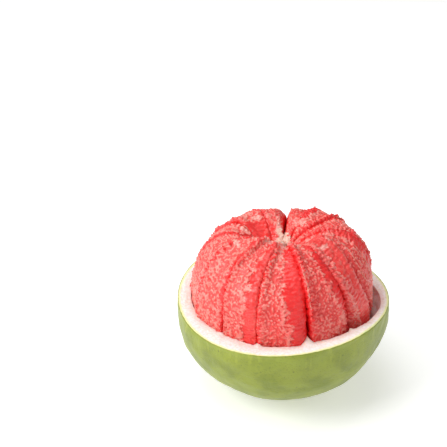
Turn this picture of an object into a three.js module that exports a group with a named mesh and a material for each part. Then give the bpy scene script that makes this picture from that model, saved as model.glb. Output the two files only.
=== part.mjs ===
// An opened pomelo: the lower half of the rind is a thick bowl, and the peeled flesh stands in it.
// The flesh is a squat globe of segments around a white core, with a dimple at its top.
// Millimetres, +Z up, front towards -Y. The origin is in the middle of the flat spot it rests on.
import * as THREE from "three";

// Rind: round in plan, cut across a little above its widest place. Its outside is fuller than an
// ellipse, whose roundness would be 2, and its bottom lies a little left of the rim's middle.
const RIND_RADIUS = 75.2;
const RIND_HALF_HEIGHT = 64.2;
const WIDEST_HEIGHT = 63.5;
const RIM_HEIGHT = 69.5;
const ROUNDNESS = 2.35;
const LEAN = -2.2;
const RIND_STEPS = 60;
const OUTER_ROWS = 13;
const INNER_ROWS = 11;
// Rows crowd towards the bottom, where the outside turns quickly into the flat spot.
const ROW_CROWDING = 1.3;

// The cut isn't level: it dips at the front left and the back right, and slopes in to the flesh.
const CUT_WAVE = 3;
const CUT_WAVE_ANGLE = 45;
const CUT_TILT = 0.9;
const CUT_DEPTH = 16;
const RIM_SLOPE = 1.2;

// Flesh: the globe's axis stands a little to the left of the rim's middle.
const FLESH_SHIFT = -2;
const CLEARANCE = 0.5;
const WALL_GAP = 0.3;
const HEART_RADIUS = 5.4;
const PROFILE_ROWS = 26;

// Core: the white column in the flesh's heart, a little waisted, with a blunt top.
const CORE_RADIUS = 4.4;
const CORE_WAIST = 0.9;
const CORE_BOTTOM = RIM_HEIGHT - 54.2;
const CORE_TOP = RIM_HEIGHT + 46;
const CORE_STEPS = 20;

// Where the rind has come away from the flesh, on the right, it gapes to a thin edge.
const GAPE_ANGLE = 82;
const GAPE_SPREAD = 62;
const GAPE_WIDTH = 7.2;
const GAPE_DEPTH = 22;

// The flesh's outline from the heart's bottom round the outside to the heart's top:
// distance from the axis, and height over the rim.
const FLESH_OUTLINE = [
  [HEART_RADIUS, -54],
  [15, -54.6],
  [28, -53],
  [41, -48],
  [52.5, -39],
  [60.5, -26],
  [64.3, -12],
  [65, 0],
  [64.2, 12],
  [61.8, 22],
  [57.5, 31.5],
  [50.5, 40],
  [41, 46],
  [31, 48.5],
  [22, 48],
  [14, 45],
  [8.5, 40.5],
  [HEART_RADIUS, 36],
];

// The segments, from the front towards the right. Angles are in degrees seen from above, 0 at the
// front and 90 at the right. left and right are how deep each side's edge is rounded off, shoulder
// is how far the upper outside stands out, and crest how far the top is raised, in millimetres.
const SEGMENTS = [
  { from: -11.5, to: 18.5, left: 3.5, right: 8.5, shoulder: 0, crest: 0 },
  { from: 18.5, to: 47.5, left: 3, right: 6, shoulder: 0, crest: 2.5 },
  { from: 47.5, to: 78, left: 5, right: 2.2, shoulder: 1, crest: 6 },
  { from: 78, to: 102, left: 5.5, right: 3, shoulder: 1.5, crest: -0.5 },
  { from: 102, to: 127, left: 4, right: 3, shoulder: 3.6, crest: -0.5 },
  { from: 127, to: 151, left: 3, right: 4, shoulder: 5.2, crest: 0 },
  { from: 151, to: 176, left: 3, right: 6.5, shoulder: 2.5, crest: -1 },
  { from: 176, to: 206, left: 6.5, right: 4, shoulder: 0, crest: 0 },
  { from: 206, to: 235, left: 3, right: 3.5, shoulder: 0.5, crest: -1 },
  { from: 235, to: 263, left: 3.5, right: 3, shoulder: -1.5, crest: -1.5 },
  { from: 263, to: 292, left: 3, right: 3, shoulder: -2.5, crest: -1 },
  { from: 292, to: 320, left: 3.5, right: 4.5, shoulder: -1.5, crest: 0 },
  { from: 320, to: 348.5, left: 4, right: 6.5, shoulder: 0, crest: 0.5 },
];
// Where the slices of a segment lie, from one side wall, at -1, to the other, at 1.
const SLICES = [-1, -0.93, -0.78, -0.5, 0, 0.5, 0.78, 0.93, 1];
const ROUNDED_SHARE = 0.62;
// The stretches of the outline, from 0 at the heart's bottom to 1 at its top, over which each
// change to a segment grows, holds and fades again.
const ROUNDED_STRETCH = [0, 0.12, 0.93, 1];
const SHOULDER_STRETCH = [0.42, 0.6, 0.72, 0.88];
const CREST_STRETCH = [0.66, 0.8, 0.94, 1];

const smooth = THREE.MathUtils.smoothstep;
const radians = THREE.MathUtils.degToRad;

// A level direction, as a unit vector.
function towards(degrees) {
  return new THREE.Vector2(Math.sin(radians(degrees)), -Math.cos(radians(degrees)));
}

// 1 in a direction and falling to 0 at width degrees from it.
function near(degrees, middle, width) {
  const off = Math.abs(THREE.MathUtils.euclideanModulo(degrees - middle + 180, 360) - 180);
  return 1 - smooth(off, 0, width);
}

// Grows from 0 to 1 over the first two bounds and falls back over the last two.
function plateau(value, [start, full, hold, end]) {
  return smooth(value, start, full) * (1 - smooth(value, hold, end));
}

const fleshOutline = new THREE.SplineCurve(FLESH_OUTLINE.map(([r, z]) => new THREE.Vector2(r, z)));
// How far along the outline it passes the rim.
const rimShare = FLESH_OUTLINE.findIndex(([, z]) => z === 0) / (FLESH_OUTLINE.length - 1);

// ---- rind ----

function rindRadius(z) {
  const share = Math.abs(WIDEST_HEIGHT - z) / RIND_HALF_HEIGHT;
  return RIND_RADIUS * Math.sqrt(1 - share ** ROUNDNESS);
}

// The rind's section: up the outside from the flat spot, over the cut, and down round the flesh.
function rindProfile() {
  const points = [new THREE.Vector2(0, 0)];
  for (let k = 0; k <= OUTER_ROWS; k++) {
    const z = RIM_HEIGHT * (k / OUTER_ROWS) ** ROW_CROWDING;
    points.push(new THREE.Vector2(rindRadius(z), z));
  }
  for (let k = 0; k <= INNER_ROWS; k++) {
    const flesh = fleshOutline.getPoint(rimShare * (1 - k / INNER_ROWS));
    const wall = flesh.clone().setLength(flesh.length() + CLEARANCE);
    points.push(new THREE.Vector2(wall.x, RIM_HEIGHT + (k ? wall.y : -RIM_SLOPE)));
  }
  points.push(new THREE.Vector2(0, points.at(-1).y));
  return points;
}

// How much higher than the rim's own height the cut runs.
function cutRise(degrees) {
  const wave = CUT_WAVE * Math.cos(2 * radians(degrees - CUT_WAVE_ANGLE));
  return wave + CUT_TILT * towards(degrees).x;
}

function makeRind() {
  const profile = rindProfile();
  const firstInside = OUTER_ROWS + 2;
  const geometry = new THREE.LatheGeometry(profile, RIND_STEPS).rotateX(Math.PI / 2);
  const place = geometry.getAttribute("position");
  for (let i = 0; i < place.count; i++) {
    const row = i % profile.length;
    const { x: radius, y: z } = profile[row];
    const level = new THREE.Vector2(place.getX(i), place.getY(i)).normalize();
    const degrees = THREE.MathUtils.radToDeg(Math.atan2(level.x, -level.y));
    const inside = row >= firstInside;
    const gaping = near(degrees, GAPE_ANGLE, GAPE_SPREAD) * smooth(z, RIM_HEIGHT - GAPE_DEPTH, RIM_HEIGHT);
    const reach = radius + (inside && radius ? GAPE_WIDTH * gaping : 0);
    const shift = inside ? FLESH_SHIFT : LEAN * (1 - z / RIM_HEIGHT);
    const rise = cutRise(degrees) * smooth(z, RIM_HEIGHT - CUT_DEPTH, RIM_HEIGHT - RIM_SLOPE);
    place.setXYZ(i, level.x * reach + shift, level.y * reach, z + rise);
  }
  return geometry;
}

// ---- flesh ----

// How deep a segment's surface lies under the globe's at a slice: quarter-round at each edge.
function edgeDrop(slice, depth) {
  const into = Math.max(0, (Math.abs(slice) - 1 + ROUNDED_SHARE) / ROUNDED_SHARE);
  return depth * (1 - Math.sqrt(1 - into * into));
}

// The outline of one slice of a segment: distance from the axis, and height.
function sliceOutline(segment, slice) {
  const drop = edgeDrop(slice, slice < 0 ? segment.left : segment.right);
  const points = [];
  for (let k = 0; k <= PROFILE_ROWS; k++) {
    const share = k / PROFILE_ROWS;
    const at = fleshOutline.getPoint(share);
    const along = fleshOutline.getTangent(share);
    const shoulder = segment.shoulder * plateau(share, SHOULDER_STRETCH);
    const out = shoulder - drop * plateau(share, ROUNDED_STRETCH);
    const r = Math.max(HEART_RADIUS, at.x + along.y * out);
    const z = at.y - along.x * out + segment.crest * plateau(share, CREST_STRETCH);
    points.push(new THREE.Vector2(r, z + RIM_HEIGHT));
  }
  return points;
}

// A closed body through rings of points, with the first and last ring capped. The caps are
// given as flat outlines, whose points match the rings'.
function loft(rings, firstCap, lastCap) {
  const size = rings[0].length;
  const last = (rings.length - 1) * size;
  const index = [];
  for (let i = 0; i < last; i += size) {
    for (let k = 0; k < size; k++) {
      const a = i + k;
      const b = i + ((k + 1) % size);
      index.push(a, b + size, b, a, a + size, b + size);
    }
  }
  for (const [a, b, c] of THREE.ShapeUtils.triangulateShape(firstCap, [])) {
    index.push(a, b, c);
  }
  for (const [a, b, c] of THREE.ShapeUtils.triangulateShape(lastCap, [])) {
    index.push(last + a, last + c, last + b);
  }
  const geometry = new THREE.BufferGeometry();
  geometry.setFromPoints(rings.flat());
  geometry.setIndex(index);
  return geometry;
}

// A wedge of the globe. Its slices fan out from a line a little off the globe's axis, so that each
// side wall stays WALL_GAP clear of the plane that it shares with its neighbour.
function makeSegment(segment) {
  const middle = (segment.from + segment.to) / 2;
  const half = (segment.to - segment.from) / 2;
  const off = WALL_GAP / Math.sin(radians(half));
  const hinge = towards(middle).multiplyScalar(off);
  const outlines = SLICES.map((slice) => sliceOutline(segment, slice));
  const rings = outlines.map((points, i) => {
    const way = towards(middle + half * SLICES[i]);
    return points.map(({ x: r, y: z }) => {
      const foot = hinge.clone().addScaledVector(way, r - off);
      return new THREE.Vector3(foot.x + FLESH_SHIFT, foot.y, z);
    });
  });
  return loft(rings, outlines[0], outlines.at(-1));
}

function makeCore() {
  const points = [
    [0, CORE_BOTTOM],
    [CORE_RADIUS, CORE_BOTTOM],
    [CORE_RADIUS, THREE.MathUtils.lerp(CORE_BOTTOM, CORE_TOP, 0.2)],
    [CORE_RADIUS - CORE_WAIST, THREE.MathUtils.lerp(CORE_BOTTOM, CORE_TOP, 0.5)],
    [CORE_RADIUS, THREE.MathUtils.lerp(CORE_BOTTOM, CORE_TOP, 0.8)],
    [CORE_RADIUS, THREE.MathUtils.lerp(CORE_BOTTOM, CORE_TOP, 0.96)],
    [CORE_RADIUS / 2, CORE_TOP],
    [0, CORE_TOP],
  ].map(([r, z]) => new THREE.Vector2(r, z));
  const geometry = new THREE.LatheGeometry(points, CORE_STEPS).rotateX(Math.PI / 2);
  return geometry.translate(FLESH_SHIFT, 0, 0);
}

// ---- materials and assembly ----

const rindMaterial = new THREE.MeshStandardMaterial({ color: 0x92a544, roughness: 0.5, metalness: 0 });
const fleshMaterial = new THREE.MeshStandardMaterial({ color: 0xe0443f, roughness: 0.3, metalness: 0 });
const coreMaterial = new THREE.MeshStandardMaterial({ color: 0xf6e6d6, roughness: 0.85, metalness: 0 });

function named(name, geometry, material) {
  const mesh = new THREE.Mesh(geometry, material);
  mesh.name = name;
  return mesh;
}

const pomelo = new THREE.Group();
pomelo.add(named("rind", makeRind(), rindMaterial));
pomelo.add(named("core", makeCore(), coreMaterial));
SEGMENTS.forEach((segment, i) => {
  const name = `segment_${String(i + 1).padStart(2, "0")}`;
  pomelo.add(named(name, makeSegment(segment), fleshMaterial));
});

export default pomelo;
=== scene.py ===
"""An opened pomelo: a thick green rind, cut across as a bowl, and the peeled red flesh standing in it.

Every length in this script is in millimetres unless its name or comment says otherwise, and to_object()
makes each mesh in metres. Angles round the fruit are in degrees seen from above, 0 at the front (-Y)
and 90 at the right (+X).
"""

import itertools
import math

import bmesh
import bpy
import numpy as np
from mathutils import Matrix, Vector
from mathutils.bvhtree import BVHTree
from mathutils.kdtree import KDTree


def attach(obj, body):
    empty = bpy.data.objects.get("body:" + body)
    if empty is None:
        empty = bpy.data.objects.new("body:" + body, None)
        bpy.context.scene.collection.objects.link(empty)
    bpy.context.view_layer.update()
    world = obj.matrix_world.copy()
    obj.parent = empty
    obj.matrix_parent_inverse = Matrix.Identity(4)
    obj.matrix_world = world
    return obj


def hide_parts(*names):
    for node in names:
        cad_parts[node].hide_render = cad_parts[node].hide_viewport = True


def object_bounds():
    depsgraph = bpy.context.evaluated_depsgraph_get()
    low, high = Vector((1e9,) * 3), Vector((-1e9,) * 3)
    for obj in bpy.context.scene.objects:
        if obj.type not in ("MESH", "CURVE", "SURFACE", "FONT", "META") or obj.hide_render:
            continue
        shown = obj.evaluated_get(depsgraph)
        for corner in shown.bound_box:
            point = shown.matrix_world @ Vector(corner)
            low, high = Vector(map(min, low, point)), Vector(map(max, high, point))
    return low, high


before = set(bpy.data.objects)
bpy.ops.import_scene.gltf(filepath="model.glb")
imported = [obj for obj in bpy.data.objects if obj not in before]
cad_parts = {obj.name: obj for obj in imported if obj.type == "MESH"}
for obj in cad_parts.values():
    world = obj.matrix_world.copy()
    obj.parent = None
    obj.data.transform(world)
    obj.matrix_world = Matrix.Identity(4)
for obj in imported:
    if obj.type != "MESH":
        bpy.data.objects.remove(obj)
cad_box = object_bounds()

MM = 0.001
# How high the rind's cut edge stands over the ground, before it waves and tilts.
RIM = 69.5
# The flesh's upright axis stands a little left of the bowl's middle.
AXIS_X = -2.0
SEGMENTS = sorted(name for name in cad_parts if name.startswith("segment_"))


# ---- small tools ----


def smooth(value, low, high):
    """0 under low, 1 over high, and a smooth step between."""
    share = np.clip((value - low) / (high - low), 0, 1)
    return share * share * (3 - 2 * share)


def waves(points, wavelength, seed):
    """A smooth random field over points, about -1 to 1, made of waves of nearly one length."""
    count = 14
    rng = np.random.default_rng(seed)
    ways = rng.normal(size=(count, 3))
    ways /= np.linalg.norm(ways, axis=1)[:, None]
    lengths = wavelength * rng.uniform(0.75, 1.4, count)
    phases = rng.uniform(0, 2 * math.pi, count)
    turns = points @ (ways * (2 * math.pi / lengths)[:, None]).T + phases
    return np.cos(turns).sum(1) / math.sqrt(count)


def unit(vectors):
    """The vectors, each made one long."""
    return vectors / np.maximum(np.linalg.norm(vectors, axis=-1, keepdims=True), 1e-12)


def towards(degrees):
    """Level unit vectors in those directions."""
    turn = np.radians(degrees)
    return np.stack([np.sin(turn), -np.cos(turn), np.zeros_like(turn)], -1)


def polar(points):
    """Direction in degrees and distance from the flesh's axis."""
    x, y = points[:, 0] - AXIS_X, points[:, 1]
    return np.degrees(np.arctan2(x, -y)), np.hypot(x, y)


def turned(degrees, middle):
    """How far each direction is from the middle one, from -180 to 180."""
    return (degrees - middle + 180) % 360 - 180


def near_direction(degrees, middle, spread):
    """1 in the middle direction, falling off to both sides of it."""
    return np.exp(-((turned(degrees, middle) / spread) ** 2))


def near_spot(points, x, y, wide, deep):
    """1 over the spot seen from above, falling off round it."""
    return np.exp(-(((points[:, 0] - x) / wide) ** 2 + ((points[:, 1] - y) / deep) ** 2))


def mesh_arrays(mesh):
    """A mesh's vertices, in millimetres, and its triangles."""
    place = np.empty(len(mesh.vertices) * 3, np.float32)
    mesh.vertices.foreach_get("co", place)
    mesh.calc_loop_triangles()
    corners = np.empty(len(mesh.loop_triangles) * 3, np.int32)
    mesh.loop_triangles.foreach_get("vertices", corners)
    return place.reshape(-1, 3).astype(float) * (1 / MM), corners.reshape(-1, 3)


def vertex_normals(place, triangles):
    """Unit normals at the vertices, from the triangles round each."""
    a, b, c = (place[triangles[:, k]] for k in range(3))
    flat = np.cross(b - a, c - a)
    normals = np.zeros_like(place)
    for k in range(3):
        np.add.at(normals, triangles[:, k], flat)
    return normals / np.maximum(np.linalg.norm(normals, axis=1), 1e-12)[:, None]


def largest_piece(place, faces):
    """The points and faces of the largest connected piece of a mesh.

    Each point takes the lowest label among its neighbours, until a whole piece has one label.
    """
    label = np.arange(len(place))
    while True:
        least = label.copy()
        lowest = label[faces].min(1)
        for k in range(3):
            np.minimum.at(least, faces[:, k], lowest)
        least = least[least]
        if (least == label).all():
            break
        label = least
    largest = np.bincount(label).argmax()
    kept = label == largest
    order = np.cumsum(kept) - 1
    return place[kept], order[faces[kept[faces[:, 0]]]]


def to_mesh(name, place, faces):
    """A mesh in metres, with all its faces smooth. faces is an array with one row for each face."""
    mesh = bpy.data.meshes.new(name)
    mesh.vertices.add(len(place))
    mesh.vertices.foreach_set("co", (np.asarray(place) * MM).astype(np.float32).ravel())
    sides = faces.shape[1]
    mesh.loops.add(faces.size)
    mesh.loops.foreach_set("vertex_index", faces.astype(np.int32).ravel())
    mesh.polygons.add(len(faces))
    mesh.polygons.foreach_set("loop_start", np.arange(len(faces), dtype=np.int32) * sides)
    mesh.polygons.foreach_set("use_smooth", np.ones(len(faces), bool))
    mesh.update(calc_edges=True)
    return mesh


def to_object(name, mesh, material=None):
    """A new object in the scene."""
    piece = bpy.data.objects.new(name, mesh)
    bpy.context.scene.collection.objects.link(piece)
    if material:
        mesh.materials.append(material)
    return piece


def set_numbers(mesh, name, values):
    """One number for each vertex, for materials to read."""
    layer = mesh.attributes.new(name, "FLOAT", "POINT")
    layer.data.foreach_set("value", np.asarray(values, np.float32))


def modified(mesh, *modifiers):
    """A new mesh: the old one, which goes, after these modifiers, each a type and its settings."""
    worker = to_object("worker", mesh)
    for kind, settings in modifiers:
        modifier = worker.modifiers.new(kind, kind)
        for key, value in settings.items():
            setattr(modifier, key, value)
    graph = bpy.context.evaluated_depsgraph_get()
    result = bpy.data.meshes.new_from_object(worker.evaluated_get(graph))
    bpy.data.objects.remove(worker)
    bpy.data.meshes.remove(mesh)
    return result


def nearest_points(targets, points):
    """The index of the nearest target to each point."""
    finder = KDTree(len(targets))
    for i, point in enumerate(targets.tolist()):
        finder.insert(point, i)
    finder.balance()
    return np.array([finder.find(point)[1] for point in points.tolist()])


# ---- materials ----


class Nodes:
    """A short way to write a material's nodes."""

    def __init__(self, name):
        self.material = bpy.data.materials.new(name)
        self.material.use_nodes = True
        self.tree = self.material.node_tree
        self.shader = self.tree.nodes["Principled BSDF"]

    def add(self, kind, inputs=None, **settings):
        """A new node. inputs says what goes into its sockets."""
        node = self.tree.nodes.new(kind)
        for key, value in settings.items():
            setattr(node, key, value)
        for key, value in (inputs or {}).items():
            self.feed(node.inputs[key], value)
        return node

    def feed(self, socket, value):
        """Link another node's output to a socket, or set the socket itself."""
        if isinstance(value, bpy.types.NodeSocket):
            self.tree.links.new(value, socket)
        else:
            socket.default_value = value

    def number(self, name):
        """What set_numbers() stored under that name."""
        return self.add("ShaderNodeAttribute", attribute_name=name).outputs["Fac"]

    def object_place(self):
        """Where a point lies on the object."""
        return self.add("ShaderNodeTexCoord").outputs["Object"]

    def noise(self, size, detail=3.0, place=None):
        """Noise with features of about size millimetres."""
        node = self.add("ShaderNodeTexNoise", {"Scale": 1 / (size * MM), "Detail": detail})
        self.feed(node.inputs["Vector"], place or self.object_place())
        return node.outputs["Fac"]

    def spots(self, size, reach, edge, middle, outside=0.0):
        """Round spots in cells of about size millimetres: middle in their middles, outside beyond edge."""
        node = self.add("ShaderNodeTexVoronoi", {"Scale": 1 / (size * MM)})
        self.feed(node.inputs["Vector"], self.object_place())
        return self.ramp(node.outputs["Distance"], reach, edge, middle, outside)

    def math(self, operation, *values):
        """The result of a sum or a product of numbers."""
        node = self.add("ShaderNodeMath", operation=operation)
        for socket, value in zip(node.inputs, values):
            self.feed(socket, value)
        return node.outputs[0]

    def ramp(self, value, low, high, start=0.0, end=1.0):
        """start where value is under low, end where it is over high, and a smooth step between."""
        node = self.add("ShaderNodeMapRange", interpolation_type="SMOOTHSTEP")
        keys = ("Value", "From Min", "From Max", "To Min", "To Max")
        for key, setting in zip(keys, (value, low, high, start, end)):
            self.feed(node.inputs[key], setting)
        return node.outputs[0]

    def mix(self, share, first, second):
        """The first colour where share is 0 and the second where it is 1."""
        node = self.add("ShaderNodeMix", data_type="RGBA")
        for socket, value in zip((0, 6, 7), (share, first, second)):
            if isinstance(value, tuple):
                value = (*value, 1.0)
            self.feed(node.inputs[socket], value)
        return node.outputs[2]

    def bump(self, height, distance, below=None):
        """distance is how high the bumps are, in millimetres, where height is 1."""
        node = self.add("ShaderNodeBump", {"Height": height, "Distance": distance * MM})
        if below:
            self.feed(node.inputs["Normal"], below)
        return node.outputs[0]

    def finish(self, **inputs):
        """Feed the surface shader, and give the finished material."""
        for key, value in inputs.items():
            self.feed(self.shader.inputs[key.replace("_", " ")], value)
        return self.material


def rgb(red, green, blue):
    """A colour given as 0 to 255 on screen, in linear light."""
    return tuple(((c / 255 + 0.055) / 1.055) ** 2.4 if c > 10 else c / 3294.6 for c in (red, green, blue))


def rind_material():
    """Green waxy skin outside the cut's edge, a pale yellow line at the edge, and white pith inside it."""
    n = Nodes("rind")
    inward = n.number("inward")
    juice_stain_and_painted_reflection = n.number("juice_stain_and_painted_reflection")
    broad = n.noise(15, 4)
    middling = n.noise(5, 5)
    lengthwise = n.add(
        "ShaderNodeVectorMath",
        {0: n.object_place(), 1: (1.0, 1.0, 0.16)},
        operation="MULTIPLY",
    ).outputs[0]
    streaks = n.noise(3.2, 3, lengthwise)
    # Skin: mottled green, yellower and streaked towards the cut, with oil glands, freckles and scuffs.
    skin = n.mix(n.ramp(broad, 0.36, 0.64), rgb(120, 133, 24), rgb(140, 151, 36))
    near_rim = n.ramp(inward, -13, -1)
    skin = n.mix(n.math("MULTIPLY", near_rim, n.ramp(streaks, 0.5, 0.68)), skin, rgb(166, 170, 52))
    skin = n.mix(n.ramp(inward, -14, -0.5, 0.0, 0.55), skin, rgb(150, 163, 46))
    skin = n.mix(n.ramp(middling, 0.56, 0.74, 0, 0.3), skin, rgb(96, 112, 38))
    gland = n.spots(1.5, 0.12, 0.5, 0.0, 1.0)
    skin = n.mix(n.ramp(gland, 0.0, 1.0, 0.22, 0.0), skin, rgb(96, 112, 34))
    skin = n.mix(n.spots(6, 0.06, 0.13, 0.55), skin, rgb(78, 78, 32))
    scuff = n.math("MULTIPLY", n.spots(19, 0.03, 0.12, 0.4), n.ramp(middling, 0.4, 0.6))
    skin = n.mix(scuff, skin, rgb(176, 176, 104))
    # Pith: white fibres, pink near the flesh: some juice stain, and painted reflection of the red flesh,
    # strongest at the front right and on the wall inside.
    fibres = n.noise(1.6, 5)
    pith = n.mix(n.ramp(fibres, 0.35, 0.65), rgb(244, 236, 226), rgb(255, 253, 248))
    stain_and_reflection_mix = n.math("MULTIPLY", juice_stain_and_painted_reflection, n.ramp(n.noise(5), 0.3, 0.7, 0.55, 1.0))
    pith = n.mix(stain_and_reflection_mix, pith, rgb(246, 190, 172))
    # The edge between them wanders.
    wobble = n.math("ADD", inward, n.math("MULTIPLY", n.math("SUBTRACT", n.noise(3), 0.5), 0.9))
    edge = n.mix(n.ramp(wobble, 0.9, 2.6), rgb(240, 244, 178), pith)
    colour = n.mix(n.ramp(wobble, 0.1, 0.7), skin, edge)
    is_pith = n.ramp(inward, 0.3, 1.2)
    pores = n.bump(n.math("MULTIPLY", gland, n.ramp(inward, 0.0, 0.6, 1.0, 0.0)), 0.12)
    return n.finish(
        Base_Color=colour,
        Roughness=n.ramp(is_pith, 0, 1, 0.45, 0.8),
        Coat_Weight=n.ramp(is_pith, 0, 1, 0.14, 0.0),
        Coat_Roughness=0.3,
        Normal=n.bump(n.math("MULTIPLY", fibres, is_pith), 0.35, pores),
        Subsurface_Weight=n.math("MULTIPLY", is_pith, 0.35),
        Subsurface_Radius=(1.0, 0.8, 0.6),
        Subsurface_Scale=2.5 * MM,
    )


def flesh_material():
    """Wet, translucent juice sacs: pale pink at their tips (partly painted highlight), red along their sides,
    deep red in the pits between the tips and in the grooves (painted shade), paler where painted light falls.
    """
    n = Nodes("flesh")
    tip_and_pit_shade, tone_and_painted_light, side, film_and_highlight, shade = (n.number(name) for name in ("tip_and_pit_shade", "tone_and_painted_light", "side", "film_and_highlight", "shade"))
    streaks = n.noise(1.4, 3)
    # The tone number mixes random tone with painted light, paler on the lit left and top.
    deep = n.mix(n.ramp(tone_and_painted_light, 0, 1), rgb(228, 50, 46), rgb(241, 78, 72))
    pale = n.mix(n.ramp(tone_and_painted_light, 0, 1), rgb(234, 88, 80), rgb(243, 150, 138))
    # Pale at the sacs' tips, partly painted highlight; deep red low between them, painted shade in the pits.
    granular = n.mix(n.ramp(tip_and_pit_shade, 0.25, 0.85), deep, pale)
    smooth_side = n.mix(n.ramp(tone_and_painted_light, 0, 1), rgb(234, 18, 20), rgb(246, 44, 42))
    colour = n.mix(side, granular, smooth_side)
    colour = n.mix(n.ramp(streaks, 0.58, 0.78, 0, 0.25), colour, rgb(248, 128, 116))
    # Painted shade: deep red in the grooves between segments and low in the top's hollow.
    colour = n.mix(n.math("MULTIPLY", shade, 0.85), colour, rgb(218, 20, 24))
    # Pale film of thin wall, which on the front crests is also painted highlight.
    colour = n.mix(film_and_highlight, colour, rgb(249, 184, 172))
    return n.finish(
        Base_Color=colour,
        Roughness=0.42,
        Normal=n.bump(n.noise(0.9, 2), 0.08),
        Subsurface_Weight=0.3,
        Subsurface_Radius=(1.0, 0.35, 0.25),
        Subsurface_Scale=3.0 * MM,
        Coat_Weight=0.3,
        Coat_Roughness=0.22,
    )


def pith_material():
    """The core and its torn top: white, fibrous, stained pink by juice."""
    n = Nodes("pith")
    fibres = n.noise(1.2, 5)
    colour = n.mix(n.ramp(fibres, 0.3, 0.7), rgb(242, 172, 150), rgb(254, 220, 198))
    return n.finish(
        Base_Color=colour,
        Roughness=0.6,
        Normal=n.bump(fibres, 0.25),
        Subsurface_Weight=0.4,
        Subsurface_Radius=(1.0, 0.7, 0.5),
        Subsurface_Scale=2.0 * MM,
    )


def wall_material():
    """Thin wall left on the flesh's edges: translucent, pink with juice, paler where it is thick."""
    n = Nodes("wall")
    patches = n.noise(2.2, 4)
    colour = n.mix(n.ramp(patches, 0.38, 0.66), rgb(238, 104, 92), rgb(250, 178, 160))
    return n.finish(
        Base_Color=colour,
        Roughness=0.4,
        Normal=n.bump(n.noise(0.7, 3), 0.15),
        Subsurface_Weight=0.5,
        Subsurface_Radius=(1.0, 0.5, 0.4),
        Subsurface_Scale=2.0 * MM,
        Coat_Weight=0.3,
        Coat_Roughness=0.2,
    )


def floor_material():
    """A white table that glows a little, so that shadows on it stay faint."""
    n = Nodes("floor")
    return n.finish(
        Base_Color=(0.93, 0.93, 0.93, 1),
        Roughness=0.9,
        Emission_Color=(1, 1, 1, 1),
        Emission_Strength=0.4,
    )


# ---- rind ----

# The skin: its radius, half its height were it whole, the height of its widest place, how square its
# profile is, and how far to the side its bottom stands.
SKIN_RADIUS = (cad_box[1].x - cad_box[0].x) / 2 / MM
SKIN_HALF_HEIGHT = 64.2
WIDEST = 63.5
ROUNDNESS = 2.35
LEAN = -2.2
# The hollow for the flesh: its radius at the rim, and its depth under the rim.
INNER_RADIUS = 64.3
INNER_DEPTH = 55.2
# The gape between flesh and rind at the right: its width, direction, spread in degrees and depth.
GAPE, GAPE_ANGLE, GAPE_SPREAD, GAPE_DEPTH = 7.2, 82, 62, 22
# How the cut waves and tilts, how far down that reaches, and how much lower its inner edge is.
CUT_WAVE, CUT_WAVE_ANGLE, CUT_TILT, CUT_DEPTH = 3, 45, 0.9, 16
CUT_SLOPE = 1.2
# How much the cut bulges up between its edges.
CUT_BULGE = 0.35
# How much nearer to the axis the flesh meets the rind at the front left: how far, where, its spread.
DRAWN, DRAWN_ANGLE, DRAWN_SPREAD = 5.2, -40, 32
# Points round the rind, and rows of them up the skin, across the cut and down inside.
RIND_STEPS = 400
ROWS_UP = 150
ROWS_ACROSS = 26
ROWS_DOWN = 60
# Where pith sticks up between the segments: direction, width in degrees, reach inward, height. And how
# far down the hollow these spurs run.
SPURS = [(17.5, 4.2, 6.5, 5.0), (-12.5, 3.0, 2.2, 1.6), (47.0, 2.6, 1.8, 1.0), (-41.0, 3.0, 1.6, 1.0)]
SPUR_DEPTH = 9


def narrowing(direction):
    """How much nearer to the axis the flesh meets the rind in each direction."""
    return DRAWN * near_direction(direction, DRAWN_ANGLE, DRAWN_SPREAD)


def cut_rise(degrees):
    """How much higher than RIM the cut runs."""
    wave = CUT_WAVE * np.cos(2 * np.radians(degrees - CUT_WAVE_ANGLE))
    return wave + CUT_TILT * np.sin(np.radians(degrees))


def per_point(values, degrees):
    """One number for each point of each row, from one for the whole row or one for each of its points."""
    return np.concatenate([np.broadcast_to(value, degrees.shape) for value in values])


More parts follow.
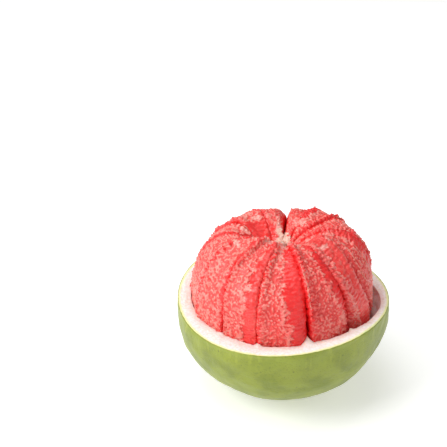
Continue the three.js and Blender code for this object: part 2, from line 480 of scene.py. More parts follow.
def rind_rows(degrees):
    """The rind's surface as rows of points, from the bottom up the skin, over the cut and down inside.

    Each point also has how far inward of the skin's cut edge it lies, measured along the surface, and
    how pink it is near the flesh: some juice stain, and painted reflection of the red flesh's light.
    """
    way = towards(degrees)
    rise = cut_rise(degrees)
    rows, inward, juice_stain_and_painted_reflection = [], [], []
    # Up the skin. The angle runs from straight down at the bottom to a little past level at the cut.
    last_angle = 90 + math.degrees(math.asin(((RIM - WIDEST) / SKIN_HALF_HEIGHT) ** (ROUNDNESS / 2)))
    for share in np.linspace(0, 1, ROWS_UP) ** 0.9:
        angle = math.radians(share * last_angle)
        fall = math.copysign(abs(math.cos(angle)) ** (2 / ROUNDNESS), math.cos(angle))
        height = max(WIDEST - SKIN_HALF_HEIGHT * fall, 0.0)
        radius = SKIN_RADIUS * math.sin(angle)
        lifted = height + rise * smooth(height, RIM - CUT_DEPTH, RIM - CUT_SLOPE)
        row = way * radius + [[LEAN * (1 - height / RIM), 0, 0]]
        row[:, 2] = lifted
        rows.append(row)
        inward.append(-(1 - share) * math.radians(last_angle) * SKIN_RADIUS)
        juice_stain_and_painted_reflection.append(0)
    # Across the cut, from the skin's edge to the hollow's, with spurs of pith and the gape at the right.
    edge = rows[-1]
    gape = GAPE * (1 - smooth(np.abs(turned(degrees, GAPE_ANGLE)), 0, GAPE_SPREAD))
    reach, lift = np.zeros_like(degrees), np.zeros_like(degrees)
    for middle, width, depth, height in SPURS:
        peak = np.clip(1 - np.abs(turned(degrees, middle)) / width, 0, 1) ** 1.3
        reach += depth * peak
        lift += height * peak
    drawn = narrowing(degrees)
    inner = way * (INNER_RADIUS + gape - drawn)[:, None] + [[AXIS_X, 0, 0]]
    inner[:, 2] = RIM - CUT_SLOPE + rise
    width = np.linalg.norm(inner[:, :2] - edge[:, :2], axis=1)
    # Pink near the flesh, most at the front right: some juice stain, and painted reflection of the red flesh.
    stain_and_reflection_by_direction = 0.2 + 0.4 * near_direction(degrees, 35, 40) + 0.2 * near_direction(degrees, -70, 30)
    for share in np.linspace(0, 1, ROWS_ACROSS)[1:]:
        near_flesh = smooth(share, 0.45, 1)
        row = edge * (1 - share) + inner * share
        row -= way * (reach * near_flesh)[:, None]
        row[:, 2] += lift * near_flesh + CUT_BULGE * math.sin(math.pi * share)
        rows.append(row)
        inward.append(share * width)
        juice_stain_and_painted_reflection.append(smooth(share, 0.35, 1) * stain_and_reflection_by_direction)
    # Down inside the hollow.
    for share in np.linspace(0, 1, ROWS_DOWN + 1)[1:]:
        angle = math.radians(90 * (1 - share**1.6))
        height = RIM - INNER_DEPTH * max(math.cos(angle), 0) ** (2 / 3)
        radius = INNER_RADIUS * math.sin(angle)
        open_share = smooth(height, RIM - GAPE_DEPTH, RIM)
        near_cut = smooth(height, RIM - CUT_DEPTH, RIM - CUT_SLOPE)
        spur = smooth(height, RIM - SPUR_DEPTH, RIM)
        row = way * (radius + gape * open_share - reach * spur - drawn * math.sin(angle))[:, None]
        row += [[AXIS_X, 0, 0]]
        row[:, 2] = height - CUT_SLOPE * near_cut + rise * near_cut + lift * spur
        rows.append(row)
        inward.append(width + (RIM - height))
        # On the wall inside the hollow, painted reflection of the red flesh, strongest near the cut.
        juice_stain_and_painted_reflection.append(stain_and_reflection_by_direction * (0.25 + 0.75 * (1 - smooth(share, 0, 0.06))))
    return np.array(rows), per_point(inward, degrees), per_point(juice_stain_and_painted_reflection, degrees)


def grid_faces(rows, steps):
    """Quads between rows of points that close into rings."""
    k = np.arange(steps)
    following = (k + 1) % steps
    quads = []
    for i in range(rows - 1):
        low, high = i * steps, (i + 1) * steps
        quads.append(np.stack([low + k, low + following, high + following, high + k], -1))
    return np.concatenate(quads)


def make_rind(material):
    """The rind, skin and pith in one, a little uneven all over."""
    degrees = np.arange(RIND_STEPS) * 360 / RIND_STEPS
    rows, inward, juice_stain_and_painted_reflection = rind_rows(degrees)
    place = rows.reshape(-1, 3)
    direction, _ = polar(place)
    level = towards(direction)
    on_skin = smooth(-inward, 0.5, 3) * smooth(place[:, 2], 2, 12)
    swell = 0.55 * waves(place, 38, 1) + 0.16 * waves(place, 11, 2) + 0.05 * waves(place, 4, 3)
    place += level * (swell * on_skin)[:, None]
    on_cut = smooth(inward, 0.2, 1.2)
    rough = 0.22 * waves(place, 9, 4) + 0.12 * waves(place, 3, 5) + 0.07 * waves(place, 1.3, 6)
    place[:, 2] += rough * on_cut
    inside = smooth(inward, 8, 13)
    place += level * (0.3 * waves(place, 6, 7) * inside)[:, None]
    mesh = to_mesh("rind_bowl", place, grid_faces(len(rows), RIND_STEPS))
    set_numbers(mesh, "inward", inward)
    set_numbers(mesh, "juice_stain_and_painted_reflection", juice_stain_and_painted_reflection)
    # The first and the last row are one place each, so their points merge into one.
    work = bmesh.new()
    work.from_mesh(mesh)
    bmesh.ops.remove_doubles(work, verts=work.verts, dist=1e-6)
    bmesh.ops.recalc_face_normals(work, faces=work.faces)
    work.to_mesh(mesh)
    work.free()
    piece = to_object("rind_bowl", mesh, material)
    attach(piece, "root")
    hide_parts("rind")


# ---- flesh ----

# How fine the remesh is that joins a segment's sacs, and the one that rounds off its base, in
# millimetres, and the share of the faces that is kept.
VOXEL = 0.5
BASE_VOXEL = 1.6
KEPT_FACES = 0.5
# A juice sac's outline: share of its length from its stalk, and share of its full radius.
SAC_OUTLINE = [(0.0, 0.0), (0.14, 0.42), (0.36, 0.8), (0.62, 1.0), (0.84, 0.8), (0.96, 0.42), (1.0, 0.0)]
SAC_SIDES = 7
# How far apart the sacs are that stand with their tips out.
TIP_SPACING = 1.5
# For sacs that lie side by side where they are seen, and where they aren't: how far apart they are,
# their length and their radius.
SIDE_SACS = (2.1, 7, 1.25)
HIDDEN_SACS = (4.4, 13, 2.4)
# The flesh's outside, from its lowest visible ring up to the hollow: radius, and height over RIM.
OUTLINE = [
    (65, -4),
    (64.8, 6),
    (64.2, 12),
    (61.8, 22),
    (57.5, 31.5),
    (50.5, 40),
    (41, 46),
    (31, 48.5),
    (22, 48),
    (14, 45),
    (8.5, 40.5),
    (5.4, 36),
]
# For each segment: how far its left edge is filled out, low down and high up, the same for its right
# edge, from which share of its half width a bare, smooth side shows, low down and high up, and how
# much painted shade, for the shade in the grooves, darkens its left and its right edge.
TRAITS = {
    "segment_01": ((3.2, 3.2), (0.6, 2.6), (0.38, 0.14), (0.1, 0.3)),
    "segment_02": ((0.8, 3.0), (0.5, 1.6), (0.8, 0.42), (0.5, 1.0)),
    "segment_03": ((0.6, 2.2), (1.8, 2.6), (0.05, -0.3), (0.55, 0.0)),
    "segment_04": ((-4.2, -5.0), (2.2, 2.6), (0.7, 0.5), (1.0, 0.5)),
    "segment_05": ((2.0, 2.4), (1.8, 2.6), (1.2, 0.8), (0.4, 0.4)),
    "segment_06": ((1.8, 2.6), (2.0, 2.8), (0.7, 0.6), (0.3, 0.3)),
    "segment_07": ((1.8, 2.4), (0.2, -1.5), (1.2, 0.75), (0.3, 0.5)),
    "segment_08": ((0.2, -1.5), (2.2, 3.0), (1.2, 0.9), (0.5, 0.3)),
    "segment_09": ((2.0, 2.8), (1.8, 2.8), (0.75, 1.2), (0.3, 0.3)),
    "segment_10": ((2.0, 2.8), (2.2, 2.8), (1.2, 0.8), (0.3, 0.3)),
    "segment_11": ((2.2, 2.8), (2.4, 3.2), (1.2, 0.95), (0.3, 0.2)),
    "segment_12": ((2.4, 3.2), (2.8, 3.8), (1.0, 0.7), (0.2, 0.4)),
    "segment_13": ((2.6, 3.6), (3.8, 4.4), (0.4, 0.5), (0.3, 0.1)),
}
# How red a segment's bare side is, where it isn't wholly red. On segment_03, which faces away from the key
# light, the paler side is painted light.
SIDE_RED = {"segment_03": 0.35, "segment_04": 0.6, "segment_13": 0.8}
# How far a segment's top is let down.
LOWERED = {"segment_03": 4.5}
# Two spots seen from above, each as its middle, half width and half depth: where the grooves between
# the segments close up in front of the core, and the hollow in the top.
MERGED = (-4, -22, 26, 14)
HOLLOW = (-14, 9, 17, 14)
# Where the top of the flesh stands high or sinks in: a spot as above, and how high.
HUMPS = [
    (-14, 8, 15, 12, -13),
    (-27, -17, 14, 9, 4),
    (-5, -14, 14, 8, 4.2),
    (15, -2, 9, 9, -3.8),
    (24, 28, 14, 12, -3.0),
    (4, 24, 8, 12, -3.2),
    (-11, 30, 10, 12, 2.6),
]
# The segments lean round the axis near one direction: the direction, its spread, and how many degrees
# they are turned at each slope over the rim, also in degrees.
LEAN_ANGLE, LEAN_SPREAD = 79, 24
LEAN_SLOPES = [0, 14, 26, 38, 48, 58, 75]
LEAN_TURNS = [-6, -10, -13, -12, -6, 2, 6]
# What is known at each point of a segment's base, as the columns of one array: the way it faces, its
# share of the segment's half width, how squarely it faces round the axis, its height over RIM, how near
# the flesh's outside it is, how bare it is, how far its sacs are combed over, and its painted shade.
FACING = slice(0, 3)
SHARE, SIDEWAYS, HEIGHT, DEPTH, BARE, COMBED, PAINTED_SHADE = range(3, 10)
# A cell's neighbours and the cell itself, as steps along the three axes.
AROUND = list(itertools.product((-1, 0, 1), repeat=3))


def sac_template():
    """Points, triangles and each point's share of the way to the tip, for a sac of length and radius 1."""
    ring = np.arange(SAC_SIDES) * 2 * math.pi / SAC_SIDES
    points = [(0, 0, 0)]
    shares = [0.0]
    for share, radius in SAC_OUTLINE[1:-1]:
        points += [(radius * math.cos(a), radius * math.sin(a), share) for a in ring]
        shares += [share] * SAC_SIDES
    points.append((0, 0, 1))
    shares.append(1.0)
    last = len(points) - 1
    start_of_last_ring = last - SAC_SIDES
    faces = []
    for k in range(SAC_SIDES):
        m = (k + 1) % SAC_SIDES
        faces.append((0, 1 + m, 1 + k))
        for start in range(1, start_of_last_ring, SAC_SIDES):
            a, b = start + k, start + m
            faces += [(a, b, b + SAC_SIDES), (a, b + SAC_SIDES, a + SAC_SIDES)]
        faces.append((start_of_last_ring + k, start_of_last_ring + m, last))
    return np.array(points, float), np.array(faces), np.array(shares)


def lay_sacs(roots, ways, lengths, radii, rng):
    """All the sacs' points and triangles. Each sac starts at its root and points its way."""
    points, faces, shares = sac_template()
    count = len(roots)
    helper = np.where(np.abs(ways[:, 2:]) < 0.9, [[0.0, 0.0, 1.0]], [[1.0, 0.0, 0.0]])
    first = unit(np.cross(ways, helper))
    second = np.cross(ways, first)
    flat = rng.uniform(0.8, 1.15, (count, 1, 1))
    across = points[None, :, 0, None] * first[:, None] * flat + points[None, :, 1, None] * second[:, None]
    along = points[None, :, 2, None] * ways[:, None]
    place = roots[:, None] + across * radii[:, None, None] + along * lengths[:, None, None]
    triangles = faces[None] + (np.arange(count) * len(points))[:, None, None]
    return place.reshape(-1, 3), triangles.reshape(-1, 3), np.tile(shares, count)


def scatter(place, triangles, values, spacing, rng, keep):
    """Points on a surface at least spacing apart, and the values there, where keep allows one."""
    a, b, c = (place[triangles[:, k]] for k in range(3))
    areas = np.linalg.norm(np.cross(b - a, c - a), axis=1) / 2
    tries = int(areas.sum() / spacing**2 * 5)
    chosen = rng.choice(len(triangles), tries, p=areas / areas.sum())
    u, v = rng.random((2, tries, 1))
    fold = u + v > 1
    u, v = np.where(fold, 1 - u, u), np.where(fold, 1 - v, v)
    points = a[chosen] * (1 - u - v) + b[chosen] * u + c[chosen] * v
    x, y, z = (values[triangles[chosen, k]] for k in range(3))
    values = x * (1 - u - v) + y * u + z * v
    wanted = keep(values)
    points, values = points[wanted], values[wanted]
    cells = {}
    kept = []
    for index, (x, y, z) in enumerate(points.tolist()):
        cx, cy, cz = int(x // spacing), int(y // spacing), int(z // spacing)
        near = (other for i, j, k in AROUND for other in cells.get((cx + i, cy + j, cz + k), ()))
        if all((px - x) ** 2 + (py - y) ** 2 + (pz - z) ** 2 >= spacing**2 for px, py, pz in near):
            cells.setdefault((cx, cy, cz), []).append((x, y, z))
            kept.append(index)
    return points[kept], values[kept]


def near_skin(points):
    """About 1 at the flesh's outer surface, and less towards its middle."""
    _, radius = polar(points)
    return np.hypot(radius / 66, (points[:, 2] - RIM + 3) / 53)


def outward(points):
    """Unit vectors out of the flesh's dome."""
    return unit(np.stack([points[:, 0] - AXIS_X, points[:, 1], (points[:, 2] - RIM + 3) * 1.55], -1))


def filled(points, share, left, right):
    """Push a segment's outer edges out, so that its grooves are shallow there."""
    near = smooth(near_skin(points), 0.8, 0.92)
    high = smooth(points[:, 2] - RIM, 8, 34)
    left = left[0] + (left[1] - left[0]) * high
    right = right[0] + (right[1] - right[0]) * high
    merged = near_spot(points, *MERGED) * high
    full = np.where(share < 0, left, right) + 2.2 * merged
    edge = full * smooth(np.abs(share), 0.4, 0.95)
    beside = np.sign(share) * (np.clip(full, 0, 2.6) * 0.45 + merged) * smooth(np.abs(share), 0.7, 1)
    direction, _ = polar(points)
    out, side = outward(points), towards(direction + 90)
    return points + out * (edge * near)[:, None] + side * (beside * near)[:, None]


def leaned(points):
    """The flesh isn't regular: it sinks to a hollow at the back left of its top, and its segments lean."""
    height = points[:, 2] - RIM
    rise = np.zeros(len(points))
    for *spot, high in HUMPS:
        rise += high * near_spot(points, *spot)
    points = points.copy()
    points[:, 2] += rise * smooth(height, 4, 40)
    direction, radius = polar(points)
    away = smooth(radius, 8, 20)
    slope = np.degrees(np.arctan2(np.maximum(height, 0), radius))
    lean = np.interp(slope, LEAN_SLOPES, LEAN_TURNS)
    share = near_direction(direction, LEAN_ANGLE, LEAN_SPREAD) * smooth(height, -30, 0)
    direction = direction + lean * share * away
    direction = direction + 1.8 * waves(points, 60, 21) * away
    grow = 1 + 0.018 * waves(points, 34, 22)
    drawn = narrowing(direction) * (1 - smooth(height, 6, 32)) * smooth(radius, 20, 60)
    drawn += 0.7 * smooth(height, 8, 26)
    moved = towards(direction) * (radius * grow - drawn)[:, None]
    moved[:, 0] += AXIS_X
    moved[:, 2] = points[:, 2] + 1.0 * waves(points, 30, 23) * smooth(height, -20, 5)
    return moved


def across_segment(direction, radius):
    """Where each point lies: -1 at the segment's left edge, 0 in its middle and 1 at its right edge."""
    outer = direction[radius > 35]
    middle = math.degrees(math.atan2(np.sin(np.radians(outer)).mean(), np.cos(np.radians(outer)).mean()))
    half = np.abs(turned(outer, middle)).max()
    return np.clip(turned(direction, middle) / half, -1, 1)


def segment_base(name, order):
    """A segment before it gets its sacs: its points, its triangles, and what is known at each point."""
    left, right, (low_bare, high_bare), (left_painted_shade, right_painted_shade) = TRAITS[name]
    mesh = modified(
        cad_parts[name].data.copy(),
        ("REMESH", {"mode": "VOXEL", "voxel_size": BASE_VOXEL * MM}),
        ("SMOOTH", {"factor": 0.5, "iterations": 5}),
    )
    plain, triangles = mesh_arrays(mesh)
    bpy.data.meshes.remove(mesh)
    direction, radius = polar(plain)
    share = across_segment(direction, radius)
    sideways = np.abs((vertex_normals(plain, triangles) * towards(direction + 90)).sum(1))
    height = plain[:, 2] - RIM
    depth = near_skin(plain)
    hollow = near_spot(plain, *HOLLOW)
    # From one share of the half width on a side is bare, and so is the hollow in the top.
    bare_from = low_bare + (high_bare - low_bare) * smooth(height, 8, 34) + 0.12 * waves(plain, 9, 40 + order)
    bare = smooth(share - bare_from, -0.03, 0.05)
    bare = np.maximum(bare, smooth(hollow + 0.1 * waves(plain, 8, 60), 0.32, 0.4) * (height > 15))
    combed = smooth(share - bare_from, -0.3, -0.05) * (1 - bare)
    # Painted shade: deep red along the edges, where the grooves between segments fall in shade, and low in
    # the hollow of the top.
    painted_shade = np.where(share < 0, left_painted_shade * smooth(-share, 0.35, 0.95), right_painted_shade * smooth(share, 0.6, 0.98))
    painted_shade *= smooth(radius, 16, 36)
    painted_shade = np.maximum(painted_shade, 0.3 * hollow * (1 - smooth(height, 38, 48)))
    plain[:, 2] -= LOWERED.get(name, 0) * smooth(height, 32, 50)
    base = leaned(filled(plain, share, left, right))
    normals = vertex_normals(base, triangles)
    return base, triangles, np.column_stack([normals, share, sideways, height, depth, bare, combed, painted_shade])


def is_seen(values):
    """Not deep in the bowl, and not deep between the segments."""
    return (values[:, HEIGHT] > -7) & (values[:, DEPTH] > 0.74)


def is_hidden(values):
    """The rest of a segment."""
    return ~is_seen(values)


def shows_tips(values):
    """On the outside, away from the bare sides."""
    return is_seen(values) & (values[:, DEPTH] > 0.84) & (values[:, SIDEWAYS] < 0.8) & (values[:, BARE] < 0.5)


def shows_sides(values):
    """On the bare sides, and wherever else no tips are seen."""
    return is_seen(values) & ~shows_tips(values)


def tip_sacs(base, triangles, values, rng):
    """Sacs that crowd the outside with their tips. They lean, so that near an edge their lengths show."""
    points, here = scatter(base, triangles, values, TIP_SPACING, rng, shows_tips)
    count = len(points)
    facing, share, combed = unit(here[:, FACING]), here[:, SHARE], here[:, COMBED]
    direction, _ = polar(points)
    edge = np.sign(share) * smooth(np.abs(share), 0.25, 1.0)
    low = smooth(-here[:, HEIGHT], -12, 0)
    ways = facing + towards(direction + 90) * (edge * 1.1 + combed * 1.6)[:, None]
    ways += rng.normal(size=(count, 3)) * 0.33
    ways[:, 2] += 0.15 - 1.1 * low
    ways = unit(ways)
    lengths = rng.uniform(3.0, 4.6, count) + 1.2 * np.abs(edge) + low + 1.5 * combed
    proud = np.clip(rng.normal(0.1, 0.26, count), -0.5, 0.45) + 0.5 * combed
    roots = points + facing * proud[:, None] - ways * lengths[:, None]
    return roots, ways, lengths, rng.uniform(0.66, 0.96, count), np.zeros(count), here[:, PAINTED_SHADE]


def lying_sacs(base, triangles, values, rng, keep, spacing, length, radius, red):
    """Sacs that lie in the surface side by side, where keep allows one."""
    points, here = scatter(base, triangles, values, spacing, rng, keep)
    count = len(points)
    facing = unit(here[:, FACING])
    direction, _ = polar(points)
    ways = towards(direction + 90) + outward(points) * 0.7 + rng.normal(size=(count, 3)) * 0.1
    ways -= facing * (ways * facing).sum(1)[:, None] * 0.96
    ways = unit(ways)
    lengths = rng.uniform(0.75, 1.25, count) * length
    radii = rng.uniform(0.85, 1.15, count) * radius
    roots = points - facing * (radii * 0.86)[:, None] - ways * (lengths * 0.55)[:, None]
    return roots, ways, lengths, radii, red * (1 - 0.35 * near_spot(points, *HOLLOW)), here[:, PAINTED_SHADE]


def sac_tones_and_painted_light(roots, rng):
    """How pale each sac is, from 0 to 1: partly at random, and paler at the left and high up, where the key
    and top lights fall, and low down near one direction, which is painted light.
    """
    # Painted light: paler on the left and the top, where the lights fall, and low down towards the right
    # front.
    pale = 0.36 * smooth(-roots[:, 0], -25, 50) + 0.3 * smooth(roots[:, 2], RIM + 15, RIM + 45)
    low = 1 - smooth(roots[:, 2], RIM + 10, RIM + 34)
    pale += 0.45 * near_direction(polar(roots)[0], 60, 16) * low
    tones_and_painted_light = 0.6 * rng.random(len(roots)) + pale + 0.1 * waves(roots, 18, 61)
    return np.clip(tones_and_painted_light, 0, 1)


def make_segment(name, order, material):
    """A segment: its base and its sacs, joined into one skin. Gives the skin's points and triangles."""
    rng = np.random.default_rng(100 + order)
    base, triangles, values = segment_base(name, order)
    red = SIDE_RED.get(name, 1.0)
    batches = [
        tip_sacs(base, triangles, values, rng),
        lying_sacs(base, triangles, values, rng, shows_sides, *SIDE_SACS, red),
        lying_sacs(base, triangles, values, rng, is_hidden, *HIDDEN_SACS, red),
    ]
    roots, ways, lengths, radii, lying, painted_shade = (np.concatenate(parts) for parts in zip(*batches))
    soup, soup_faces, shares = lay_sacs(roots, ways, lengths, radii, rng)
    tones_and_painted_light = sac_tones_and_painted_light(roots, rng)
    # The base is sunk, so that the sacs stand out of it, and less so where it is bare.
    normals = values[:, FACING]
    sunk = base - normals * (0.85 - 0.3 * values[:, BARE] * (values[:, DEPTH] > 0.84))[:, None]
    mesh = modified(
        to_mesh(name, np.concatenate([sunk, soup]), np.concatenate([triangles, soup_faces + len(sunk)])),
        ("REMESH", {"mode": "VOXEL", "voxel_size": VOXEL * MM}),
        ("SMOOTH", {"factor": 0.35, "iterations": 1}),
        ("DECIMATE", {"ratio": KEPT_FACES}),
    )
    place, faces = largest_piece(*mesh_arrays(mesh))
    bpy.data.meshes.remove(mesh)
    # Each point of the skin takes the looks of the sac nearest to it.
    nearest = nearest_points(soup, place)
    sac = nearest // (len(soup) // len(roots))
    beneath = nearest_points(sunk, place)
    above = ((place - sunk[beneath]) * normals[beneath]).sum(1)
    mesh = to_mesh(name + "_flesh", place, faces)
    # Points low over the sunk base lie in the pits between sacs and count as no tip, so they take the deep
    # red: painted shade.
    set_numbers(mesh, "tip_and_pit_shade", shares[nearest] * smooth(above, 0.0, 0.65))
    set_numbers(mesh, "tone_and_painted_light", tones_and_painted_light[sac])
    set_numbers(mesh, "side", lying[sac])
    set_numbers(mesh, "film_and_highlight", film_and_highlight_at(place))
    set_numbers(mesh, "shade", painted_shade[sac])
    piece = to_object(name + "_flesh", mesh, material)
    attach(piece, "root")
    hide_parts(name)
    return place, faces


def on_outline(direction, share):
    """A point on the flesh's outside: its direction and its share of the way up OUTLINE to the hollow."""
    at = share * (len(OUTLINE) - 1)
    radius, height = (np.interp(at, range(len(OUTLINE)), column) for column in zip(*OUTLINE))
    point = towards(np.array([direction], float)) * radius + [[AXIS_X, 0, RIM + height]]
    return leaned(point)[0]


# Thin wall left on the flesh as a pale film, on the front crests also painted highlight: direction, share
# of the way up, half its length and half its width, and how far its length is turned from straight outward,
# in degrees.
FILMS_AND_HIGHLIGHTS = [
    (-40, 0.8, 7, 2.2, 80),
    (74.5, 0.62, 11, 1.0, 0),
    (74.5, 0.78, 8, 1.1, 0),
    (-65, 0.6, 7, 1.8, 80),
    (-28, 0.76, 6, 1.8, 70),
    (5, 0.77, 6, 1.8, 80),
    (-119, 0.63, 6, 2, 10),
    (-144, 0.64, 5, 2, 60),
    (186, 0.76, 8, 3, 0),
    (-8, 0.82, 9, 4, 90),
    (28, 0.78, 6, 3, 80),
    (150, 0.7, 7, 2.5, 70),
    (60, 0.62, 6, 2.0, 75),
]


def film_and_highlight_at(points):
    """How much of the pale film, on the front crests partly painted highlight, covers each point."""
    cover = np.zeros(len(points))
    for direction, share, long, wide, turn in FILMS_AND_HIGHLIGHTS:
        middle = on_outline(direction, share)
        along = towards(np.array([direction + turn], float))[0]
        out = outward(middle[None])[0]
        reach = points - middle
        reach = reach - (reach @ out).clip(-5, 5)[:, None] * out
        length = reach @ along
        beside = np.linalg.norm(reach - length[:, None] * along, axis=1)
        ragged = 1 + 0.35 * waves(points, 2.5, 50)
        cover = np.maximum(cover, 1 - smooth(np.hypot(length / long, beside / wide) * ragged, 0.5, 1.1))
    return cover * (0.75 + 0.25 * waves(points, 1.6, 51).clip(-1, 1))


# ---- walls left on the flesh, and the core ----

# Strips of wall standing on the flesh's edges: points as direction and share of the way up, and width.
STRIPS = [
    ([(19.5, 0.3), (19.6, 0.38), (19.8, 0.46), (20.0, 0.55)], 1.0),
    ([(86.0, 0.1), (86.5, 0.24), (86.0, 0.38), (86.5, 0.5), (86.0, 0.6)], 0.8),
    ([(94.5, 0.22), (95.0, 0.36), (94.5, 0.5)], 0.7),
    ([(104.0, 0.2), (103.5, 0.32), (103.5, 0.44), (103.0, 0.56)], 1.3),
    ([(128.0, 0.3), (127.5, 0.42), (127.5, 0.52)], 1.3),
    ([(177.0, 0.5), (176.5, 0.62), (176.0, 0.74), (175.5, 0.84), (176.0, 0.92)], 2.2),
    ([(206.5, 0.35), (206.0, 0.5), (206.0, 0.6)], 1.2),
    ([(236.0, 0.6), (236.5, 0.7), (236.0, 0.8)], 1.5),
    ([(263.5, 0.62), (264.0, 0.74), (264.0, 0.82)], 1.4),
    ([(250.0, 0.7), (251.0, 0.78), (249.0, 0.86)], 1.8),
    ([(291.0, 0.15), (291.5, 0.25), (292.0, 0.33)], 1.0),
]
# Points round a strip, how far apart they are along it, and how thick half of it is.
STRIP_SIDES = 8
STRIP_STEP = 0.7
STRIP_THICKNESS = 0.2
# The shreds of the core's torn top: direction, how far out they reach, and width.
SHREDS = [
    (150, 11, 5),
    (163, 17, 6),
    (176, 24, 6),
    (188, 19, 6),
    (204, 14, 6),
    (225, 8, 5),
    (120, 7, 4),
    (20, 5, 4),
    (320, 6, 4),
]
# Heights over RIM: where the search for the flesh under a shred starts, where a shred lies if it finds
# none, and the lowest that a shred starts at the core.
SHRED_SEARCH, SHRED_FALLBACK, SHRED_ROOT = 70, 37, 40
# How fine the core's remesh is, in millimetres.
CORE_VOXEL = 0.8


def strip_arrays(path, facings, width, rng):
    """A closed strip with a lens-shaped section that lies along path, ragged at its edges."""
    path = np.array(path, float)
    steps = max(int(np.linalg.norm(np.diff(path, axis=0), axis=1).sum() / STRIP_STEP), 6)
    known = np.linspace(0, 1, len(path))
    at = np.linspace(0, 1, steps)
    spine = np.stack([np.interp(at, known, path[:, k]) for k in range(3)], -1)
    facing = unit(np.stack([np.interp(at, known, np.array(facings)[:, k]) for k in range(3)], -1))
    ahead = unit(np.gradient(spine, axis=0))
    beside = unit(np.cross(facing, ahead))
    taper = np.sin(np.pi * np.linspace(0.04, 0.96, steps)) ** 0.4
    ring = np.arange(STRIP_SIDES) * 2 * math.pi / STRIP_SIDES
    wobble = 1 + 0.3 * waves(spine, 3, rng.integers(1000)) + 0.2 * waves(spine, 1.2, rng.integers(1000))
    half = width / 2 * taper * np.maximum(wobble, 0.25)
    thick = STRIP_THICKNESS * taper
    shift = 0.3 * waves(spine, 4, rng.integers(1000))
    middle = (spine + beside * shift[:, None])[:, None]
    sideways = beside[:, None] * (half[:, None] * np.cos(ring))[..., None]
    upwards = facing[:, None] * (thick[:, None] * np.sin(ring))[..., None]
    rows = (middle + sideways + upwards).reshape(-1, 3)
    first, last = len(rows), len(rows) + 1
    start_of_last_ring = first - STRIP_SIDES
    faces = []
    for k in range(STRIP_SIDES):
        m = (k + 1) % STRIP_SIDES
        for start in range(0, start_of_last_ring, STRIP_SIDES):
            a, b = start + k, start + m
            faces += [(a, b, b + STRIP_SIDES), (a, b + STRIP_SIDES, a + STRIP_SIDES)]
        faces += [(first, m, k), (last, start_of_last_ring + k, start_of_last_ring + m)]
    return np.concatenate([rows, spine[:1], spine[-1:]]), np.array(faces)


def gathered(pieces):
    """Several pieces' points and faces as one."""
    starts = np.cumsum([0] + [len(place) for place, _ in pieces[:-1]])
    faces = np.concatenate([faces + start for (_, faces), start in zip(pieces, starts)])
    return np.concatenate([place for place, _ in pieces]), faces


def make_wall_strips(surface, material, rng):
    """The strips of wall, laid on the flesh's surface."""
    pieces = []
    for points, width in STRIPS:
        at = np.linspace(0, len(points) - 1, 4 * len(points))
        columns = (np.interp(at, range(len(points)), column) for column in zip(*points))
        guesses = np.array([on_outline(direction, share) for direction, share in zip(*columns)])
        outs = outward(guesses)
        reach = []
        for guess, out in zip(guesses, outs):
            spot, _, _, _ = surface.ray_cast((guess + out * 14).tolist(), (-out).tolist())
            reach.append((np.array(spot) - guess) @ out if spot else 0)
        reach = np.convolve(np.pad(reach, 2, "edge"), np.ones(5) / 5, "valid")
        pieces.append(strip_arrays(guesses + outs * (reach + 0.2)[:, None], outs, width, rng))
    piece = to_object("wall_strips", to_mesh("wall_strips", *gathered(pieces)), material)
    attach(piece, "root")


def make_core_tuft(surface, material, rng):
    """The torn top of the core, which fans out over the back of the hollow."""
    pieces = []
    for direction, reach, width in SHREDS:
        path = []
        for radius in np.linspace(1.5, reach, 5):
            level = towards(np.array([direction + rng.uniform(-3, 3)]))[0]
            start = level * radius + [AXIS_X, 0, RIM + SHRED_SEARCH]
            hit, _, _, _ = surface.ray_cast(start.tolist(), (0, 0, -1))
            spot = np.array(hit) if hit else np.array([start[0], start[1], RIM + SHRED_FALLBACK])
            path.append(spot + [0, 0, 0.3])
        path[0][2] = max(path[0][2], RIM + SHRED_ROOT)
        pieces.append(strip_arrays(path, [(0, 0, 1)] * len(path), width, rng))
    piece = to_object("core_tuft", to_mesh("core_tuft", *gathered(pieces)), material)
    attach(piece, "root")


def make_core(material):
    """The core, fibrous along its length. Gives its points and triangles."""
    mesh = modified(
        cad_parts["core"].data.copy(),
        ("REMESH", {"mode": "VOXEL", "voxel_size": CORE_VOXEL * MM}),
        ("SMOOTH", {"factor": 0.5, "iterations": 4}),
    )
    place, faces = mesh_arrays(mesh)
    bpy.data.meshes.remove(mesh)
    normals = vertex_normals(place, faces)
    stretched = place * [[1, 1, 0.2]]
    place += normals * (0.5 * waves(stretched, 3.5, 31) + 0.25 * waves(stretched, 1.6, 32))[:, None]
    place[:, 2] -= 4 * smooth(place[:, 2], RIM + 30, RIM + 46)
    piece = to_object("core_column", to_mesh("core_column", place, faces), material)
    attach(piece, "root")
    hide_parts("core")
    return place, faces


# ---- stage ----

# The floor: its radius, its number of corners, and its height, a little under the fruit.
FLOOR_RADIUS = 6000
FLOOR_CORNERS = 64
FLOOR_HEIGHT = -0.05
# The camera: how far it is from the middle of the cut and how many degrees above level, and how many
# degrees it points down and to the left.
CAMERA_DISTANCE = 757
CAMERA_ELEVATION = 33.5
CAMERA_DIP = 29.79
CAMERA_TURN = 3.85


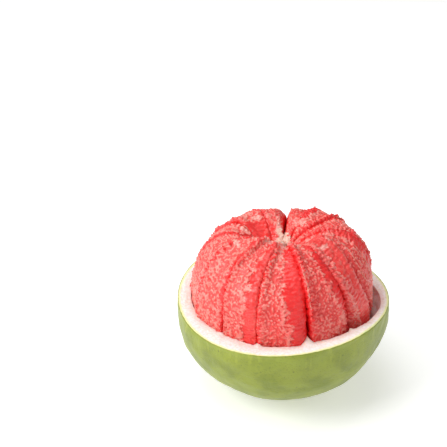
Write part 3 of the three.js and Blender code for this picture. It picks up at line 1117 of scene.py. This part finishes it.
def make_floor(material):
    """A round white table."""
    ring = towards(np.arange(FLOOR_CORNERS) * 360 / FLOOR_CORNERS) * FLOOR_RADIUS
    ring[:, 2] = FLOOR_HEIGHT
    floor = to_object("floor", to_mesh("floor", ring, np.arange(FLOOR_CORNERS)[None]), material)


def area_light(name, place, target, size, power):
    """A square soft light. place, target and size are in metres, and power is in watts."""
    data = bpy.data.lights.new(name, "AREA")
    data.size = size
    data.energy = power
    light = bpy.data.objects.new(name, data)
    bpy.context.scene.collection.objects.link(light)
    away = Vector(np.array(place) - np.array(target))
    light.matrix_world = Matrix.Translation(place) @ away.to_track_quat("Z", "Y").to_matrix().to_4x4()


def make_stage():
    """The table, three lights and an even white surrounding."""
    make_floor(floor_material())
    area_light("key", (-0.98, -0.5, 0.92), (0, 0, 0.06), 0.8, 12.6)
    area_light("top", (-0.25, 0.2, 1.3), (0, 0, 0.06), 1.0, 7.5)
    area_light("fill", (0.95, -0.9, 1.1), (0, 0, 0.07), 1.0, 3.8)
    world = bpy.data.worlds.new("studio")
    world.use_nodes = True
    background = world.node_tree.nodes["Background"]
    background.inputs["Color"].default_value = (1, 1, 1, 1)
    background.inputs["Strength"].default_value = 0.28
    bpy.context.scene.world = world
    bpy.context.scene.view_settings.view_transform = "Standard"


def make_camera():
    """A long lens, aimed so that the fruit stands at the lower right of the picture."""
    data = bpy.data.cameras.new("camera")
    data.lens = 85
    data.sensor_width = 36
    camera = bpy.data.objects.new("camera", data)
    bpy.context.scene.collection.objects.link(camera)
    climb = math.radians(CAMERA_ELEVATION)
    back, up = math.cos(climb) * CAMERA_DISTANCE, math.sin(climb) * CAMERA_DISTANCE
    camera.location = (0, -back * MM, (RIM + up) * MM)
    camera.rotation_euler = (math.radians(90 - CAMERA_DIP), 0, math.radians(CAMERA_TURN))
    bpy.context.scene.camera = camera


# ---- the whole ----

make_stage()
make_camera()
flesh = flesh_material()
pith = pith_material()
make_rind(rind_material())
core = make_core(pith)
segments = [make_segment(name, order, flesh) for order, name in enumerate(SEGMENTS)]
points, faces = gathered(segments + [core])
surface = BVHTree.FromPolygons(points.tolist(), faces.tolist())
rng = np.random.default_rng(7)
make_wall_strips(surface, wall_material(), rng)
make_core_tuft(surface, pith, rng)
